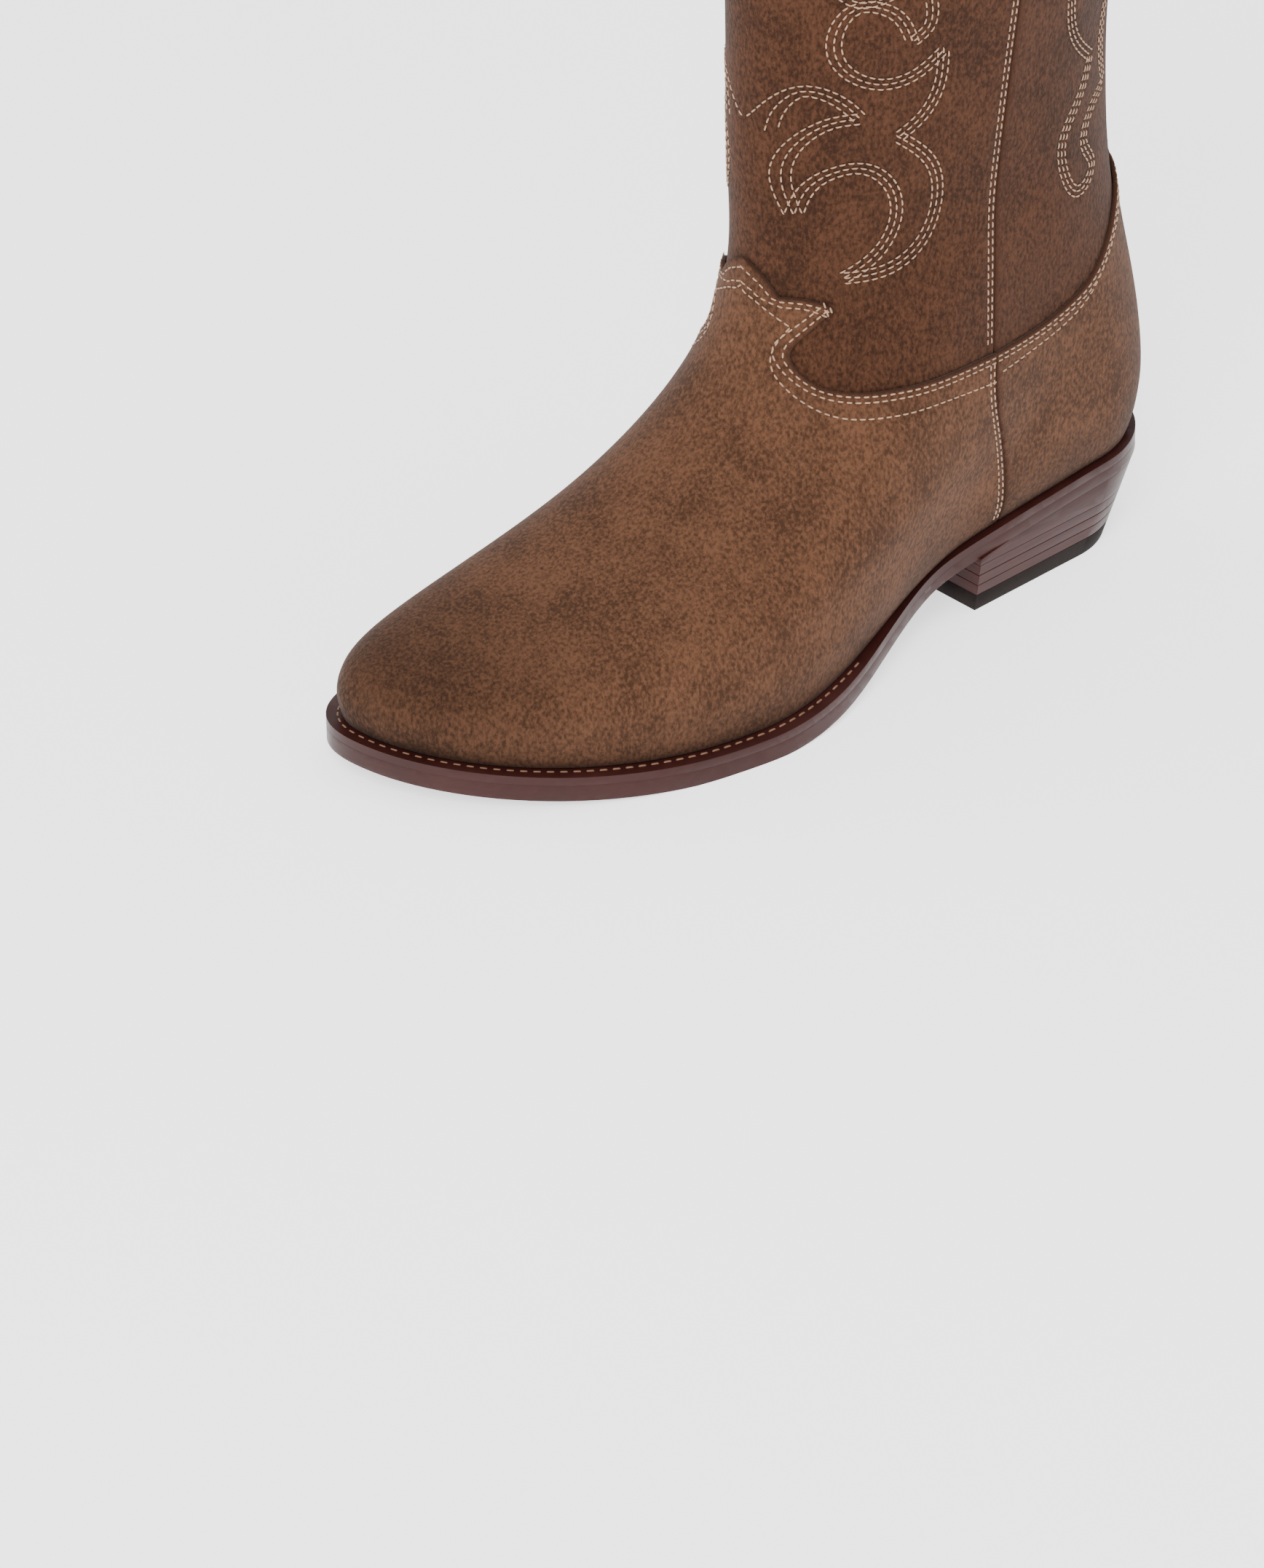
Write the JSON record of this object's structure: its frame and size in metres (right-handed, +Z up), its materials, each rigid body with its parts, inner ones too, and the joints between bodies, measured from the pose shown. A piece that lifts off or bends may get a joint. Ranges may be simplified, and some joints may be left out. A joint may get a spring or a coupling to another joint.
{
  "type": "cowboy boot",
  "caption": "Suede western boot with a round toe, scalloped vamp, stitched shaft with pull straps, welted leather sole and low stacked heel.",
  "frame": {"origin": "centre of the heel's tread, on the ground", "axes": "-Y towards the toe, +Y towards the back of the heel, +X towards the outer (little toe) side of this left boot, +Z up along the shaft"},
  "size_m": [0.1207, 0.308, 0.3729],
  "materials": {
    "brown_suede": "matt suede, brushed nap",
    "collar_leather": "satin folded binding",
    "lining_leather": "smooth, matt",
    "stiffener_board": "matt pressed fibre",
    "sole_leather": "burnished mahogany edge, satin",
    "insole_leather": "smooth veg-tanned, matt",
    "cork": "matt cork paste",
    "stacked_heel": "burnished and waxed, semi-gloss",
    "heel_rubber": "matt moulded rubber",
    "steel": "tempered strip and nails",
    "peg_wood": "lemonwood, matt"
  },
  "bodies": {
    "root": {"vamp": "brown_suede", "heel_counter_cover": "brown_suede", "toe_puff": "stiffener_board", "vamp_interlining": "stiffener_board", "heel_stiffener": "stiffener_board", "front_shaft_panel": "brown_suede", "back_shaft_panel": "brown_suede", "front_shaft_lining": "lining_leather", "back_shaft_lining": "lining_leather", "vamp_lining": "lining_leather", "heel_lining": "lining_leather", "collar_binding": "collar_leather", "pull_strap_lateral": "brown_suede", "pull_strap_medial": "brown_suede", "welt": "sole_leather", "heel_rand": "sole_leather", "cork_filler": "cork", "steel_shank": "steel", "shank_board": "insole_leather", "insole_board": "insole_leather", "sock_lining": "lining_leather", "outsole": "sole_leather", "waist_peg_lateral_1": "peg_wood", "waist_peg_lateral_2": "peg_wood", "waist_peg_lateral_3": "peg_wood", "waist_peg_lateral_4": "peg_wood", "waist_peg_medial_1": "peg_wood", "waist_peg_medial_2": "peg_wood", "waist_peg_medial_3": "peg_wood", "waist_peg_medial_4": "peg_wood", "heel_nail_1": "steel", "heel_nail_2": "steel", "heel_nail_3": "steel", "heel_nail_4": "steel", "heel_nail_5": "steel", "top_lift": "heel_rubber", "heel_lift_1": "stacked_heel", "heel_lift_2": "stacked_heel", "heel_lift_3": "stacked_heel", "heel_wedge": "stacked_heel"}
  },
  "joints": []
}
